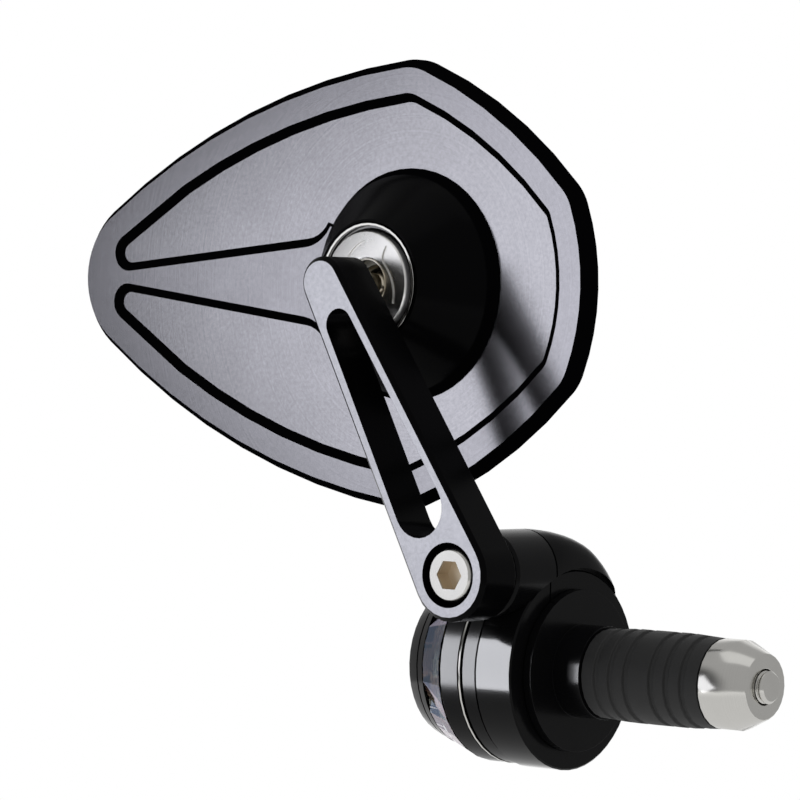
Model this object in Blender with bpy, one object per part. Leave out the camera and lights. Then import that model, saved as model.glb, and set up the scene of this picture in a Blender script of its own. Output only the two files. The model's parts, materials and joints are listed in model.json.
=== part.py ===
# Bar-end mirror: machined head on a ball joint, slotted arm, slit clamp and a light ring on the bar.
# Metres, +Z up. +X runs along the handlebar into the bar, and the machined back faces -Y.
# The origin is the centre of the face that seats on the end of the handlebar tube.

import math

import bmesh
import bpy
from mathutils import Vector

MM = 0.001

# Fits
FIT = 0.3 * MM
ROUND_STEPS = 40
CLEARANCE_STEPS = 44
SMALL_STEPS = 24
LARGE_STEPS = 48
BALL_STEPS = 7

# Bar-end core, along the bar axis
FLANGE_RADIUS = 15.0 * MM
FLANGE_THICKNESS = 1.7 * MM
CORE_RADIUS = 13.2 * MM
NECK_RADIUS = 10.4 * MM
SPIGOT_RADIUS = 8.6 * MM
SPIGOT_LENGTH = 6.0 * MM

# Clamp
CLAMP_WIDTH = 11.8 * MM
CLAMP_RADIUS = 18.5 * MM
CLAMP_EDGE = 0.3 * MM
COLLAR_STEP = 0.45 * MM
GROOVE_FROM_OUTBOARD = 3.1 * MM
GROOVE_WIDTH = 0.75 * MM
GROOVE_DEPTH = 0.7 * MM
SLIT_OFFSET = 7.3 * MM
SLIT_WIDTH = 0.4 * MM
PIVOT_INSET = 6.5 * MM
PIVOT_HEIGHT = 17.9 * MM
BOSS_RADIUS = 8.0 * MM
BOSS_PROUD = 0.1 * MM
BOSS_EDGE = 0.5 * MM
EAR_RADIUS = 24.0 * MM
EAR_SQUARE = 4.5
EAR_BLEND = 0.35
EAR_END = math.radians(8)
EAR_STEPS = 16

# Light ring and cap
TRIM_THICKNESS = 0.4 * MM
TRIM_PROUD = 0.1 * MM
BEZEL_LENGTH = 4.2 * MM
BEZEL_EDGE = 0.2 * MM
LENS_LENGTH = 5.4 * MM
LENS_STEP = 0.1 * MM
LENS_TAPER = 2.0 * MM
LENS_SHELL = 2.0 * MM
LENS_CHAMBER_DEPTH = 2.6 * MM
LENS_WINDOWS = 6
LENS_WINDOW_SWEEP = math.radians(37)
LENS_WINDOW_STEPS = 3
LENS_NOTCH = 0.8 * MM
LENS_TURN = math.radians(-7.6)
BOARD_THICKNESS = 1.0 * MM
BOARD_WIDTH = 4.0 * MM
CHIP_SIZE = 1.4 * MM
CHIP_HEIGHT = 0.8 * MM
CHIP_COUNT = 12
GASKET_THICKNESS = 0.4 * MM
GASKET_WIDTH = 3.0 * MM
CAP_THICKNESS = 3.9 * MM
CAP_EDGE = 0.3 * MM
CAP_GROOVE_AT = 1.9 * MM
CAP_GROOVE_WIDTH = 0.4 * MM
CAP_GROOVE_DEPTH = 0.4 * MM
CAP_SPIGOT_LENGTH = 2.0 * MM

# Screws
M6_RADIUS = 3.0 * MM
M6_HEAD_RADIUS = 5.0 * MM
M6_HEAD_HEIGHT = 6.0 * MM
M6_HEAD_EDGE = 0.5 * MM
M6_KEY = 5.0 * MM
M6_KEY_DEPTH = 3.2 * MM
ARM_BOLT_LENGTH = 25.0 * MM

# Expander inside the bar
EXPANDER_WASHER_RADIUS = 5.5 * MM
EXPANDER_WASHER_THICKNESS = 1.0 * MM
HEAD_TO_CAP = 0.4 * MM
SLEEVE_LENGTH = 26.0 * MM
SLEEVE_RADIUS = 8.2 * MM
SLEEVE_BELLY = 0.4 * MM
NUT_LENGTH = 9.0 * MM
NUT_RADIUS = 8.2 * MM
NUT_TIP_RADIUS = 6.0 * MM
BOLT_PAST_NUT = 1.5 * MM

# Arm
ARM_LENGTH = 61.4 * MM
ARM_LEAN = math.radians(31.7)
ARM_THICKNESS = 9.4 * MM
ARM_FOOT_RADIUS = 8.5 * MM
ARM_HEAD_RADIUS = 4.8 * MM
ARM_BEVEL = 0.8 * MM
SLOT_FOOT_RADIUS = 5.5 * MM
SLOT_FOOT_AT = 13.9 * MM
SLOT_HEAD_RADIUS = 3.0 * MM
SLOT_HEAD_AT = 52.3 * MM
BOLT_RECESS = 0.4 * MM
COUNTERBORE_RADIUS = 5.9 * MM
WASHER_THICKNESS = 0.6 * MM
WASHER_RADIUS = 7.6 * MM

# Ball joint
BALL_RADIUS = 4.5 * MM
BALL_REACH = 9.8 * MM
STUD_NECK_RADIUS = 2.0 * MM
STUD_COLLAR_RADIUS = 3.6 * MM
STUD_COLLAR_THICKNESS = 1.2 * MM
STUD_SHANK_RADIUS = 2.5 * MM
STUD_SHANK_LENGTH = 5.8 * MM
SEAT_WALL = 1.2 * MM
SEAT_LIP = 3.2 * MM

# Retainer in the mouth of the dome
DISC_THICKNESS = 0.6 * MM
DISC_FLANGE_RADIUS = 11.05 * MM
DISC_FLANGE_DROP = 1.5 * MM
DISC_TOP_RADIUS = 9.65 * MM
DISC_SKIRT = 0.7 * MM
DISC_HOLE_RADIUS = 4.4 * MM
DISC_LIP_WIDTH = 0.7 * MM
DISC_LIP_DROP = 0.4 * MM
DISC_PROUD = 0.7 * MM
DISC_GROOVES = 3
DISC_GROOVE_WIDTH = 0.55 * MM
DISC_GROOVE_DEPTH = 0.3 * MM
DISC_GROOVE_TAIL = 7.8 * MM
DISC_GROOVE_INNER = 6.0 * MM
DISC_GROOVE_OUTER = 8.5 * MM
DISC_GROOVE_START = math.radians(-27)
DISC_GROOVE_SWEEP = math.radians(70)
DISC_GROOVE_STEPS = 8
DISC_HOOK_SWEEP = math.radians(11)
DISC_HOOK_STEPS = 6
RING_WIDTH = 0.5 * MM
RING_THICKNESS = 0.7 * MM

# Mirror head: outline of the flat machined face, from the dome's axis
HEAD_TIP = 82.4 * MM
HEAD_HEEL = 41.6 * MM
HEAD_HALF_HEIGHT = 40.8 * MM
TIP_RADIUS = 14.4 * MM
LONG_EDGE_RADIUS = 153.5 * MM
CROWN_RADIUS = 11.0 * MM
SHORT_EDGE_RADIUS = 91.0 * MM
CORNER_RADIUS = 8.5 * MM
HEEL_RADIUS = 41.7 * MM
LONG_EDGE_START = math.radians(36.7)
LONG_EDGE_END = math.radians(6.8)
SHORT_EDGE_START = math.radians(-20.5)
SHORT_EDGE_END = math.radians(-45.9)
HEEL_START = math.radians(-68.6)

# Mirror head: sections through the plate
BALL_HEIGHT = 5.4 * MM
EDGE_BEVEL_WIDTH = 1.6 * MM
EDGE_BEVEL_DEPTH = 1.9 * MM
EDGE_WALL = 1.5 * MM
RIM_WIDTH = 4.8 * MM
POCKET_DEPTH = 1.1 * MM
POCKET_WALL = 1.7 * MM
POCKET_CORNER = 3.6 * MM
SPINE_HALF_AT_TIP = 1.4 * MM
SPINE_TIP_INSET = 12.7 * MM
SPINE_FLARE = math.radians(6.7)
SPINE_FILLET = 8.0 * MM
DOME_BASE_RADIUS = 21.9 * MM
DOME_HEIGHT = 11.1 * MM
DOME_FOOT = 0.3 * MM
DOME_SHOULDER_RADIUS = 20.5 * MM
DOME_SHOULDER_HEIGHT = 1.4 * MM
DOME_SWELL = -0.15 * MM
DOME_LAND = 0.4 * MM
DOME_STEPS = 6
GLASS_THICKNESS = 2.0 * MM
BOND_THICKNESS = 0.5 * MM
GLASS_BELOW_RIM = 0.2 * MM
FLOOR_THICKNESS = 1.8 * MM
REAR_STEP_INSET = 2.6 * MM
REAR_RIM_WIDTH = 1.6 * MM

# Stations along the bar axis, from the seat outward
CLAMP_INBOARD = -(FLANGE_THICKNESS + FIT)
CLAMP_OUTBOARD = CLAMP_INBOARD - CLAMP_WIDTH
PIVOT_X = CLAMP_INBOARD - PIVOT_INSET
TRIM_INBOARD = CLAMP_OUTBOARD - FIT
TRIM_OUTBOARD = TRIM_INBOARD - TRIM_THICKNESS
BEZEL_INBOARD = TRIM_OUTBOARD - FIT
BEZEL_OUTBOARD = BEZEL_INBOARD - BEZEL_LENGTH
LENS_INBOARD = BEZEL_OUTBOARD - FIT
LENS_OUTBOARD = LENS_INBOARD - LENS_LENGTH
GASKET_INBOARD = LENS_OUTBOARD - FIT
GASKET_OUTBOARD = GASKET_INBOARD - GASKET_THICKNESS
CAP_INBOARD = GASKET_OUTBOARD - FIT
CAP_OUTBOARD = CAP_INBOARD - CAP_THICKNESS
CAP_SPIGOT_END = CAP_INBOARD + CAP_SPIGOT_LENGTH
EXPANDER_HEAD_TOP = CAP_SPIGOT_END + HEAD_TO_CAP
EXPANDER_HEAD_SEAT = EXPANDER_HEAD_TOP + M6_HEAD_HEIGHT
EXPANDER_WASHER_OUTBOARD = EXPANDER_HEAD_SEAT + FIT
EXPANDER_WASHER_INBOARD = EXPANDER_WASHER_OUTBOARD + EXPANDER_WASHER_THICKNESS
COUNTERBORE_FLOOR = EXPANDER_WASHER_INBOARD + FIT
SLEEVE_START = SPIGOT_LENGTH + FIT
SLEEVE_END = SLEEVE_START + SLEEVE_LENGTH
NUT_START = SLEEVE_END + FIT
NUT_END = NUT_START + NUT_LENGTH

# Radii that follow from the fits
COLLAR_RADIUS = CLAMP_RADIUS - COLLAR_STEP
LENS_LARGE_RADIUS = COLLAR_RADIUS - LENS_STEP
LENS_SMALL_RADIUS = LENS_LARGE_RADIUS - LENS_TAPER
M6_HOLE_RADIUS = M6_RADIUS + FIT
CLAMP_BORE_RADIUS = CORE_RADIUS + FIT
NECK_FIT_RADIUS = NECK_RADIUS + FIT
BODY_COUNTERBORE_RADIUS = EXPANDER_WASHER_RADIUS + FIT
SEAT_INNER_RADIUS = BALL_RADIUS + FIT
SEAT_OUTER_RADIUS = SEAT_INNER_RADIUS + SEAT_WALL
SOCKET_RADIUS = SEAT_OUTER_RADIUS + FIT
RING_OUTER_RADIUS = DISC_FLANGE_RADIUS + FIT
MOUTH_RADIUS = RING_OUTER_RADIUS + FIT

# Places across the bar axis
BOSS_REACH = CLAMP_RADIUS + BOSS_PROUD
WASHER_FRONT = -(BOSS_REACH + FIT + WASHER_THICKNESS)
ARM_BACK = WASHER_FRONT - FIT
BALL_X = PIVOT_X - ARM_LENGTH * math.sin(ARM_LEAN)
BALL_Y = ARM_BACK + BALL_REACH
BALL_Z = PIVOT_HEIGHT + ARM_LENGTH * math.cos(ARM_LEAN)

# Heights in the head, from the ball centre towards the arm
FACE_UP = -BALL_HEIGHT
FLOOR_UP = FACE_UP - POCKET_DEPTH
RECESS_UP = FLOOR_UP - FLOOR_THICKNESS
EDGE_BACK_UP = FACE_UP - EDGE_BEVEL_DEPTH - EDGE_WALL
BOND_UP = RECESS_UP - FIT
GLASS_UP = BOND_UP - BOND_THICKNESS - FIT
REAR_UP = GLASS_UP - GLASS_THICKNESS - GLASS_BELOW_RIM
DOME_UP = FACE_UP + DOME_HEIGHT
DISC_UP = DOME_UP + DISC_PROUD
DISC_FLANGE_UP = DISC_UP - DISC_FLANGE_DROP
MOUTH_FLOOR_UP = DISC_FLANGE_UP - DISC_THICKNESS - FIT
SPINE_TIP_AT = HEAD_TIP - SPINE_TIP_INSET
RECESS_INSET = REAR_STEP_INSET - EDGE_BEVEL_WIDTH + REAR_RIM_WIDTH


def clear_scene():
    for obj in list(bpy.data.objects):
        bpy.data.objects.remove(obj)


def finish(name, colour, roughness, metallic):
    material = bpy.data.materials.new(name)
    material.use_nodes = True
    shader = material.node_tree.nodes["Principled BSDF"]
    shader.inputs["Base Color"].default_value = (*colour, 1.0)
    shader.inputs["Roughness"].default_value = roughness
    shader.inputs["Metallic"].default_value = metallic
    return material


def empty_at(name, location, turn=0.0):
    empty = bpy.data.objects.new(name, None)
    empty.location = location
    empty.rotation_euler = (0.0, turn, 0.0)
    bpy.context.collection.objects.link(empty)
    return empty


def place(name, bm, parent, material=None, location=(0.0, 0.0, 0.0)):
    bmesh.ops.remove_doubles(bm, verts=bm.verts, dist=0.000001)
    bmesh.ops.recalc_face_normals(bm, faces=bm.faces)
    mesh = bpy.data.meshes.new(name)
    bm.to_mesh(mesh)
    bm.free()
    mesh.shade_smooth()
    mesh.set_sharp_from_angle(angle=math.radians(28))
    if material:
        mesh.materials.append(material)
    obj = bpy.data.objects.new(name, mesh)
    obj.parent = parent
    obj.location = location
    bpy.context.collection.objects.link(obj)
    return obj


def turned(name, profile, axis, parent, material=None, location=(0.0, 0.0, 0.0), steps=ROUND_STEPS):
    # Profile points are (distance along the axis, radius). It closes on itself, or along the axis.
    bm = bmesh.new()
    if axis == "X":
        points = [Vector((along, 0.0, radius)) for along, radius in profile]
        spin_axis = (1.0, 0.0, 0.0)
    else:
        points = [Vector((radius, along, 0.0)) for along, radius in profile]
        spin_axis = (0.0, 1.0, 0.0)
    verts = [bm.verts.new(point) for point in points]
    edges = []
    for index, vert in enumerate(verts):
        following = (index + 1) % len(verts)
        if profile[index][1] > 0.0 or profile[following][1] > 0.0:
            edges.append(bm.edges.new((vert, verts[following])))
    bmesh.ops.spin(
        bm,
        geom=verts + edges,
        cent=(0.0, 0.0, 0.0),
        axis=spin_axis,
        angle=2.0 * math.pi,
        steps=steps,
        use_merge=True,
    )
    return place(name, bm, parent, material, location)


def rod(name, start, end, radius, axis, parent, location=(0.0, 0.0, 0.0), steps=ROUND_STEPS):
    profile = [(start, 0.0), (start, radius), (end, radius), (end, 0.0)]
    return turned(name, profile, axis, parent, location=location, steps=steps)


def lofted(name, loops, parent, material=None, location=(0.0, 0.0, 0.0)):
    # Closed loops of equally many points, joined one to the next and capped at both ends.
    bm = bmesh.new()
    rings = [[bm.verts.new(point) for point in loop] for loop in loops]
    count = len(rings[0])
    for lower, upper in zip(rings, rings[1:]):
        for index in range(count):
            following = (index + 1) % count
            bm.faces.new((lower[index], lower[following], upper[following], upper[index]))
    bm.faces.new(rings[0][::-1])
    bm.faces.new(rings[-1])
    return place(name, bm, parent, material, location)


def flat_loop(outline, up):
    # A loop of (across, high) points at a height measured towards -Y.
    return [(across, -up, high) for across, high in outline]


def hexagon(name, start, end, flats, axis, parent, location=(0.0, 0.0, 0.0)):
    radius = flats / math.sqrt(3.0)
    corners = [(radius * math.cos(k * math.pi / 3), radius * math.sin(k * math.pi / 3)) for k in range(6)]
    if axis == "X":
        loops = [[(along, u, v) for u, v in corners] for along in (start, end)]
    else:
        loops = [[(u, along, v) for u, v in corners] for along in (start, end)]
    return lofted(name, loops, parent, location=location)


def combine(target, tool, operation):
    tool.hide_render = True
    tool.display_type = "WIRE"
    modifier = target.modifiers.new(tool.name, "BOOLEAN")
    modifier.operation = operation
    modifier.solver = "EXACT"
    modifier.object = tool


def cut(target, tool):
    combine(target, tool, "DIFFERENCE")


def fuse(target, tool):
    combine(target, tool, "UNION")


def arc(centre, radius, start, end, steps):
    angles = [start + (end - start) * k / steps for k in range(steps + 1)]
    return [(centre[0] + radius * math.cos(a), centre[1] + radius * math.sin(a)) for a in angles]


def tapered_loop(foot_radius, foot_at, head_radius, head_at, steps=14):
    # Outline round two circles on the arm's axis, joined by their outer tangents.
    tilt = math.asin((foot_radius - head_radius) / (head_at - foot_at))
    head = arc((0.0, head_at), head_radius, tilt, math.pi - tilt, steps)
    foot = arc((0.0, foot_at), foot_radius, math.pi - tilt, 2.0 * math.pi + tilt, steps)
    return head + foot


# Bar-end fitting


def bar_end_body(bar, material):
    profile = [
        (LENS_OUTBOARD, NECK_RADIUS),
        (CLAMP_OUTBOARD, NECK_RADIUS),
        (CLAMP_OUTBOARD, CORE_RADIUS),
        (-FLANGE_THICKNESS, CORE_RADIUS),
        (-FLANGE_THICKNESS, FLANGE_RADIUS),
        (0.0, FLANGE_RADIUS),
        (0.0, SPIGOT_RADIUS),
        (SPIGOT_LENGTH, SPIGOT_RADIUS),
        (SPIGOT_LENGTH, M6_HOLE_RADIUS),
        (COUNTERBORE_FLOOR, M6_HOLE_RADIUS),
        (COUNTERBORE_FLOOR, BODY_COUNTERBORE_RADIUS),
        (LENS_OUTBOARD, BODY_COUNTERBORE_RADIUS),
    ]
    return turned("bar_end_body", profile, "X", bar, material)


def trim_ring(bar, material):
    outer = COLLAR_RADIUS + TRIM_PROUD
    profile = [
        (TRIM_OUTBOARD, NECK_FIT_RADIUS),
        (TRIM_OUTBOARD, outer),
        (TRIM_INBOARD, outer),
        (TRIM_INBOARD, NECK_FIT_RADIUS),
    ]
    return turned("trim_ring", profile, "X", bar, material)


def bezel_ring(bar, material):
    profile = [
        (BEZEL_OUTBOARD, NECK_FIT_RADIUS),
        (BEZEL_OUTBOARD, COLLAR_RADIUS - BEZEL_EDGE),
        (BEZEL_OUTBOARD + BEZEL_EDGE, COLLAR_RADIUS),
        (BEZEL_INBOARD, COLLAR_RADIUS),
        (BEZEL_INBOARD, NECK_FIT_RADIUS),
    ]
    return turned("bezel_ring", profile, "X", bar, material)


def lens_ring(bar, material):
    # Broad windows on a taper, with a notch between each two that is cut deepest at the small rim.
    chamber_end = LENS_INBOARD - LENS_CHAMBER_DEPTH
    chamber_radius = LENS_LARGE_RADIUS - LENS_SHELL
    pitch = 2.0 * math.pi / LENS_WINDOWS
    step = LENS_WINDOW_SWEEP / LENS_WINDOW_STEPS
    turns = [step * k - LENS_WINDOW_SWEEP / 2 for k in range(LENS_WINDOW_STEPS + 1)] + [pitch / 2]
    # The flats, not the corners, keep the clearance round the neck.
    widest = max(step, (pitch - LENS_WINDOW_SWEEP) / 2)
    bore = NECK_FIT_RADIUS / math.cos(widest / 2)
    sections = [
        (LENS_OUTBOARD, bore, 0.0),
        (LENS_OUTBOARD, LENS_SMALL_RADIUS, LENS_NOTCH),
        (LENS_INBOARD, LENS_LARGE_RADIUS, 0.0),
        (LENS_INBOARD, chamber_radius, 0.0),
        (chamber_end, chamber_radius, 0.0),
        (chamber_end, bore, 0.0),
    ]
    bm = bmesh.new()
    rings = []
    for along, radius, notch in sections:
        ring = []
        for window in range(LENS_WINDOWS):
            for turn in turns:
                angle = LENS_TURN + window * pitch + turn
                reach = radius - notch if turn == turns[-1] else radius
                ring.append(bm.verts.new((along, reach * math.cos(angle), reach * math.sin(angle))))
        rings.append(ring)
    count = len(rings[0])
    for index, ring in enumerate(rings):
        following = rings[(index + 1) % len(rings)]
        for k in range(count):
            after = (k + 1) % count
            bm.faces.new((ring[k], ring[after], following[after]))
            bm.faces.new((ring[k], following[after], following[k]))
    return place("lens_ring", bm, bar, material)


def led_board(bar, material):
    inboard = BEZEL_OUTBOARD - FIT
    outboard = inboard - BOARD_THICKNESS
    inner = NECK_FIT_RADIUS
    outer = inner + BOARD_WIDTH
    profile = [(outboard, inner), (outboard, outer), (inboard, outer), (inboard, inner)]
    board = turned("led_board", profile, "X", bar, material)
    chips = bmesh.new()
    half = CHIP_SIZE / 2
    root = outboard + BOARD_THICKNESS / 2
    middle = (inner + outer) / 2
    for k in range(CHIP_COUNT):
        angle = 2.0 * math.pi * k / CHIP_COUNT
        radial = Vector((0.0, math.cos(angle), math.sin(angle)))
        around = Vector((0.0, -math.sin(angle), math.cos(angle)))
        rings = []
        for along in (outboard - CHIP_HEIGHT, root):
            centre = radial * middle + Vector((along, 0.0, 0.0))
            corners = [(-half, -half), (half, -half), (half, half), (-half, half)]
            rings.append([chips.verts.new(centre + radial * u + around * v) for u, v in corners])
        chips.faces.new(rings[0])
        chips.faces.new(rings[1])
        for k2 in range(4):
            after = (k2 + 1) % 4
            chips.faces.new((rings[0][k2], rings[0][after], rings[1][after], rings[1][k2]))
    fuse(board, place("light_chips", chips, bar))
    return board


def lens_gasket(bar, material):
    inner = NECK_FIT_RADIUS
    outer = inner + GASKET_WIDTH
    profile = [
        (GASKET_OUTBOARD, inner),
        (GASKET_OUTBOARD, outer),
        (GASKET_INBOARD, outer),
        (GASKET_INBOARD, inner),
    ]
    return turned("lens_gasket", profile, "X", bar, material)


def end_cap(bar, material):
    # Its side carries on the lens's taper, and its lip covers the gasket's edge.
    spigot = BODY_COUNTERBORE_RADIUS - FIT
    gasket_room = NECK_FIT_RADIUS + GASKET_WIDTH + FIT
    lip = LENS_OUTBOARD - FIT
    groove_inboard = lip - CAP_GROOVE_AT + CAP_GROOVE_WIDTH
    groove_outboard = lip - CAP_GROOVE_AT
    corner = CAP_OUTBOARD + CAP_EDGE

    def side(along):
        return LENS_SMALL_RADIUS + LENS_TAPER / LENS_LENGTH * (along - LENS_OUTBOARD)

    groove_floor = side(groove_outboard) - CAP_GROOVE_DEPTH
    profile = [
        (CAP_OUTBOARD, 0.0),
        (CAP_OUTBOARD, side(corner) - CAP_EDGE),
        (corner, side(corner)),
        (groove_outboard, side(groove_outboard)),
        (groove_outboard, groove_floor),
        (groove_inboard, groove_floor),
        (groove_inboard, side(groove_inboard)),
        (lip, side(lip)),
        (lip, gasket_room),
        (CAP_INBOARD, gasket_room),
        (CAP_INBOARD, spigot),
        (CAP_SPIGOT_END, spigot),
        (CAP_SPIGOT_END, 0.0),
    ]
    return turned("end_cap", profile, "X", bar, material)


def expander_bolt(bar, material):
    end = NUT_END + BOLT_PAST_NUT
    profile = [
        (EXPANDER_HEAD_TOP, 0.0),
        (EXPANDER_HEAD_TOP, M6_HEAD_RADIUS - M6_HEAD_EDGE),
        (EXPANDER_HEAD_TOP + M6_HEAD_EDGE, M6_HEAD_RADIUS),
        (EXPANDER_HEAD_SEAT, M6_HEAD_RADIUS),
        (EXPANDER_HEAD_SEAT, M6_RADIUS),
        (end - M6_HEAD_EDGE, M6_RADIUS),
        (end, M6_RADIUS - M6_HEAD_EDGE),
        (end, 0.0),
    ]
    bolt = turned("expander_bolt", profile, "X", bar, material, steps=SMALL_STEPS)
    key_end = EXPANDER_HEAD_TOP + M6_KEY_DEPTH
    cut(bolt, hexagon("expander_key", EXPANDER_HEAD_TOP - M6_KEY_DEPTH, key_end, M6_KEY, "X", bar))
    return bolt


def expander_washer(bar, material):
    profile = [
        (EXPANDER_WASHER_OUTBOARD, M6_HOLE_RADIUS),
        (EXPANDER_WASHER_OUTBOARD, EXPANDER_WASHER_RADIUS),
        (EXPANDER_WASHER_INBOARD, EXPANDER_WASHER_RADIUS),
        (EXPANDER_WASHER_INBOARD, M6_HOLE_RADIUS),
    ]
    return turned("expander_washer", profile, "X", bar, material, steps=SMALL_STEPS)


def expander_sleeve(bar, material):
    belly = SLEEVE_RADIUS + SLEEVE_BELLY
    profile = [
        (SLEEVE_START, M6_HOLE_RADIUS),
        (SLEEVE_START, SLEEVE_RADIUS),
        (SLEEVE_START + SLEEVE_LENGTH / 4, belly),
        (SLEEVE_END - SLEEVE_LENGTH / 4, belly),
        (SLEEVE_END, SLEEVE_RADIUS),
        (SLEEVE_END, M6_HOLE_RADIUS),
    ]
    return turned("expander_sleeve", profile, "X", bar, material, steps=SMALL_STEPS)


def expander_nut(bar, material):
    profile = [
        (NUT_START, M6_HOLE_RADIUS),
        (NUT_START, NUT_RADIUS),
        (NUT_START + NUT_LENGTH / 2, NUT_RADIUS),
        (NUT_END, NUT_TIP_RADIUS),
        (NUT_END, M6_HOLE_RADIUS),
    ]
    return turned("expander_nut", profile, "X", bar, material, steps=SMALL_STEPS)


# Clamp


def clamp_body(clamp, material):
    groove = CLAMP_OUTBOARD + GROOVE_FROM_OUTBOARD
    groove_floor = COLLAR_RADIUS - GROOVE_DEPTH
    profile = [
        (CLAMP_OUTBOARD, CLAMP_BORE_RADIUS),
        (CLAMP_OUTBOARD, COLLAR_RADIUS - CLAMP_EDGE),
        (CLAMP_OUTBOARD + CLAMP_EDGE, COLLAR_RADIUS),
        (groove, COLLAR_RADIUS),
        (groove, groove_floor),
        (groove + GROOVE_WIDTH, groove_floor),
        (groove + GROOVE_WIDTH, CLAMP_RADIUS),
        (CLAMP_INBOARD - CLAMP_EDGE, CLAMP_RADIUS),
        (CLAMP_INBOARD, CLAMP_RADIUS - CLAMP_EDGE),
        (CLAMP_INBOARD, CLAMP_BORE_RADIUS),
    ]
    body = turned("clamp_body", profile, "X", clamp, material, steps=LARGE_STEPS)
    # The lug ends inside the ring's wall, and where it overhangs the ring it stays clear of the
    # pieces on either side.
    lug = lug_solid(clamp)
    keep_out = CLAMP_RADIUS + TRIM_PROUD + FIT
    wall_middle = (CLAMP_BORE_RADIUS + COLLAR_RADIUS) / 2
    outboard = CLAMP_OUTBOARD + 2 * CLAMP_EDGE
    inboard = CLAMP_INBOARD - 2 * CLAMP_EDGE
    for name, start, end, radius in (
        ("outboard_clearance", outboard - CLAMP_WIDTH, outboard, keep_out),
        ("inboard_clearance", inboard, inboard + CLAMP_WIDTH, keep_out),
        ("bore_clearance", outboard - CLAMP_EDGE, inboard + CLAMP_EDGE, wall_middle),
    ):
        cut(lug, rod(name, start, end, radius, "X", clamp, steps=CLEARANCE_STEPS))
    fuse(body, lug)
    cut(body, slit_solid(clamp))
    hole_end = ARM_BACK - ARM_THICKNESS + BOLT_RECESS + M6_HEAD_HEIGHT + ARM_BOLT_LENGTH + FIT
    hole_at = (PIVOT_X, 0.0, PIVOT_HEIGHT)
    cut(body, rod("clamp_thread", ARM_BACK, hole_end, M6_HOLE_RADIUS, "Y", clamp, hole_at))
    return body


def lug_solid(clamp):
    # The boss, then its round section swept back and down into the ring, growing squarer on its way.
    loops = []
    for reach, radius in ((BOSS_REACH, BOSS_RADIUS - BOSS_EDGE), (BOSS_REACH - BOSS_EDGE, BOSS_RADIUS)):
        section = squared_round(radius, 2.0)
        loops.append([(PIVOT_X + across, -reach, PIVOT_HEIGHT + rise) for across, rise in section])
    centre_z = PIVOT_HEIGHT + BOSS_RADIUS - EAR_RADIUS
    sweep = EAR_RADIUS - BOSS_RADIUS
    top = math.radians(90)
    for k in range(EAR_STEPS + 1):
        share = k / EAR_STEPS
        angle = top + (EAR_END - top) * share
        section = squared_round(BOSS_RADIUS, 2.0 + (EAR_SQUARE - 2.0) * min(1.0, share / EAR_BLEND))
        loop = []
        for across, rise in section:
            back = -SLIT_OFFSET + (sweep + rise) * math.cos(angle)
            loop.append((PIVOT_X + across, back, centre_z + (sweep + rise) * math.sin(angle)))
        loops.append(loop)
    return lofted("clamp_lug", loops, clamp)


def squared_round(radius, square, steps=32):
    # A circle for a square of 2, with fuller upper corners for more.
    points = []
    for k in range(steps):
        turn = 2.0 * math.pi * k / steps
        across, rise = math.cos(turn), math.sin(turn)
        if rise > 0.0:
            across = math.copysign(abs(across) ** (2.0 / square), across)
            rise = rise ** (2.0 / square)
        points.append((radius * across, radius * rise))
    return points


def slit_solid(clamp):
    front = -SLIT_OFFSET - SLIT_WIDTH / 2
    back = -SLIT_OFFSET + SLIT_WIDTH / 2
    low = CLAMP_BORE_RADIUS / 4
    high = PIVOT_HEIGHT + 2 * BOSS_RADIUS
    corners = [(front, low), (back, low), (back, high), (front, high)]
    stations = (CLAMP_OUTBOARD - CLAMP_WIDTH, CLAMP_INBOARD + CLAMP_WIDTH)
    return lofted("clamp_slit", [[(along, y, z) for y, z in corners] for along in stations], clamp)


def pivot_washer(clamp, material):
    back = WASHER_FRONT + WASHER_THICKNESS
    profile = [
        (WASHER_FRONT, M6_HOLE_RADIUS),
        (WASHER_FRONT, WASHER_RADIUS),
        (back, WASHER_RADIUS),
        (back, M6_HOLE_RADIUS),
    ]
    at = (PIVOT_X, 0.0, PIVOT_HEIGHT)
    return turned("pivot_washer", profile, "Y", clamp, material, at, steps=SMALL_STEPS)


def arm_bolt(clamp, material):
    top = ARM_BACK - ARM_THICKNESS + BOLT_RECESS
    seat = top + M6_HEAD_HEIGHT
    end = seat + ARM_BOLT_LENGTH
    profile = [
        (top, 0.0),
        (top, M6_HEAD_RADIUS - M6_HEAD_EDGE),
        (top + M6_HEAD_EDGE, M6_HEAD_RADIUS),
        (seat, M6_HEAD_RADIUS),
        (seat, M6_RADIUS),
        (end - M6_HEAD_EDGE, M6_RADIUS),
        (end, M6_RADIUS - M6_HEAD_EDGE),
        (end, 0.0),
    ]
    at = (PIVOT_X, 0.0, PIVOT_HEIGHT)
    bolt = turned("arm_bolt", profile, "Y", clamp, material, at)
    cut(bolt, hexagon("arm_bolt_key", top - M6_KEY_DEPTH, top + M6_KEY_DEPTH, M6_KEY, "Y", clamp, at))
    return bolt


# Arm, drawn upright from its pivot with its back face at zero


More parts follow.
